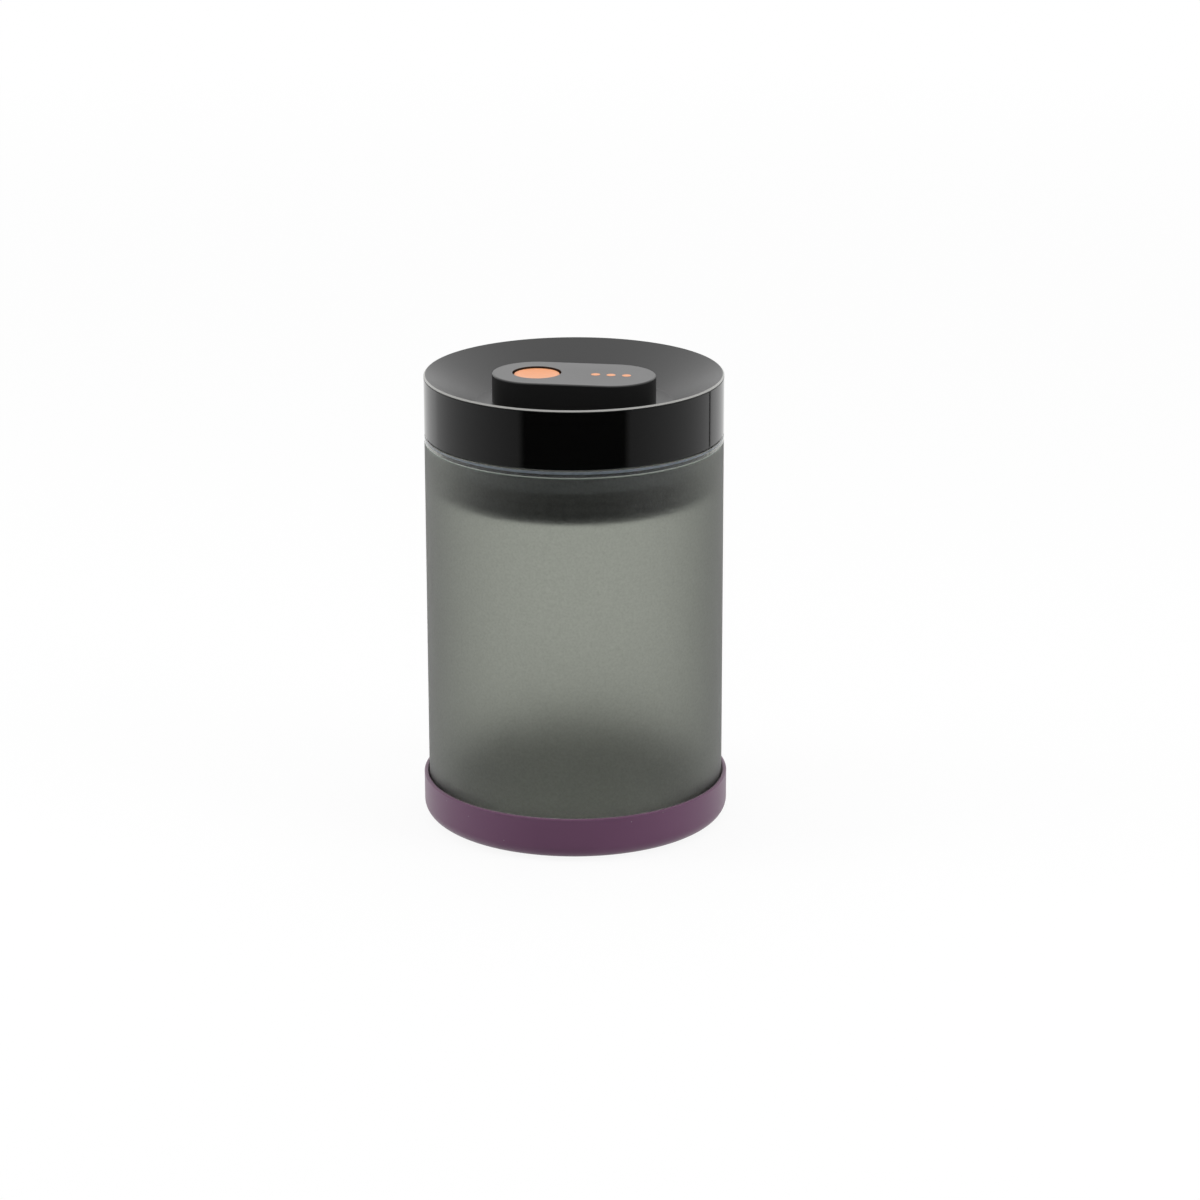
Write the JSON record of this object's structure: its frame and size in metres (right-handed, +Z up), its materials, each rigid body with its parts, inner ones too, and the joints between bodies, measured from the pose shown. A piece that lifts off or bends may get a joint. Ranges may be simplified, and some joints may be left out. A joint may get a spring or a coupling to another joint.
{
  "type": "vacuum canister",
  "caption": "Upright frosted glass canister with a pump lid that draws the air out at the press of a button, standing in a silicone boot.",
  "frame": {"origin": "on the ground, at the centre of the base, on the axis of the jar", "axes": "+Z up along the axis of the jar, X along the grip of the lid with the button towards -X, the charging socket faces +Y"},
  "size_m": [0.1034, 0.1034, 0.1544],
  "materials": {
    "frosted_glass": "acid-frosted outside, polished lip",
    "boot_silicone": "matte moulded silicone",
    "gloss_black": "polished moulded ABS",
    "satin_black": "fine satin moulded ABS",
    "plug_plastic": "moulded polypropylene",
    "seal_silicone": "smooth moulded silicone",
    "button_orange": "fine satin moulded ABS",
    "pale_silicone": "translucent moulded silicone",
    "zinc_steel": "zinc plated",
    "bright_steel": "ground",
    "socket_steel": "nickel plated",
    "board_laminate": "green solder mask",
    "chip_epoxy": "moulded epoxy",
    "cell_sleeve": "shrink sleeve on a rolled can",
    "pump_plastic": "moulded acetal",
    "copper_winding": "enamelled copper wire",
    "filter_felt": "pressed fibre felt"
  },
  "bodies": {
    "jar": {"glass_jar": "frosted_glass"},
    "boot": {"base_boot": "boot_silicone"},
    "button": {"power_button": "button_orange"},
    "switch": {"switch_plunger": "pump_plastic"},
    "crank": {"motor_shaft": "bright_steel", "crank_hub": "pump_plastic"},
    "rod": {"connecting_rod": "pump_plastic", "diaphragm_clamp": "bright_steel"},
    "release": {"release_plunger": "bright_steel", "release_tip": "seal_silicone"},
    "lid": {"lid_skirt": "gloss_black", "lid_dish": "satin_black", "plug_cup": "plug_plastic", "plug_seal": "seal_silicone", "housing_screws": "zinc_steel", "screw_plugs": "seal_silicone", "circuit_board": "board_laminate", "board_screws": "zinc_steel", "control_chip": "chip_epoxy", "charge_socket": "socket_steel", "button_membrane": "pale_silicone", "switch_body": "chip_epoxy", "battery_cell": "cell_sleeve", "motor_can": "zinc_steel", "motor_end_cap": "chip_epoxy", "motor_pad": "pale_silicone", "pump_crankcase": "plug_plastic", "pump_diaphragm": "seal_silicone", "valve_plate": "pump_plastic", "valve_flaps": "pale_silicone", "pump_head": "plug_plastic", "pump_screws": "zinc_steel", "intake_hose": "pale_silicone", "filter_disc": "filter_felt", "filter_cap": "plug_plastic", "release_frame": "zinc_steel", "release_coil": "copper_winding", "release_spring": "bright_steel"}
  },
  "joints": [
    {"name": "lid_lift", "type": "slide", "parent": "jar", "child": "lid", "axis": [0, 0, 1], "range_m": [0, 0.12]},
    {"name": "boot_pull", "type": "slide", "parent": "jar", "child": "boot", "axis": [0, 0, -1], "range_m": [0, 0.03]},
    {"name": "button_press", "type": "slide", "parent": "lid", "child": "button", "axis": [0, 0, -1], "range_m": [0, 0.0008], "stiffness_N_per_m": 600, "springref_m": -0.001, "deforming": ["button_membrane"]},
    {"name": "switch_press", "type": "slide", "parent": "lid", "child": "switch", "axis": [0, 0, -1], "range_m": [0, 0.0008]},
    {"name": "crank_spin", "type": "hinge", "parent": "lid", "child": "crank", "pos_m": [0.006, -0.016, 0.1255], "axis": [1, 0, 0], "continuous": true, "deforming": ["pump_diaphragm"]},
    {"name": "rod_swing", "type": "hinge", "parent": "crank", "child": "rod", "pos_m": [0.006, -0.016, 0.1265], "axis": [1, 0, 0], "continuous": true},
    {"name": "release_lift", "type": "slide", "parent": "lid", "child": "release", "axis": [0, 0, 1], "range_m": [0, 0.001], "stiffness_N_per_m": 400, "springref_m": -0.002, "deforming": ["release_spring"]}
  ],
  "couplings": [
    {"joint": "switch_press", "follows": "button_press", "ratio": 1},
    {"joint": "rod_swing", "follows": "crank_spin", "ratio": -1}
  ]
}
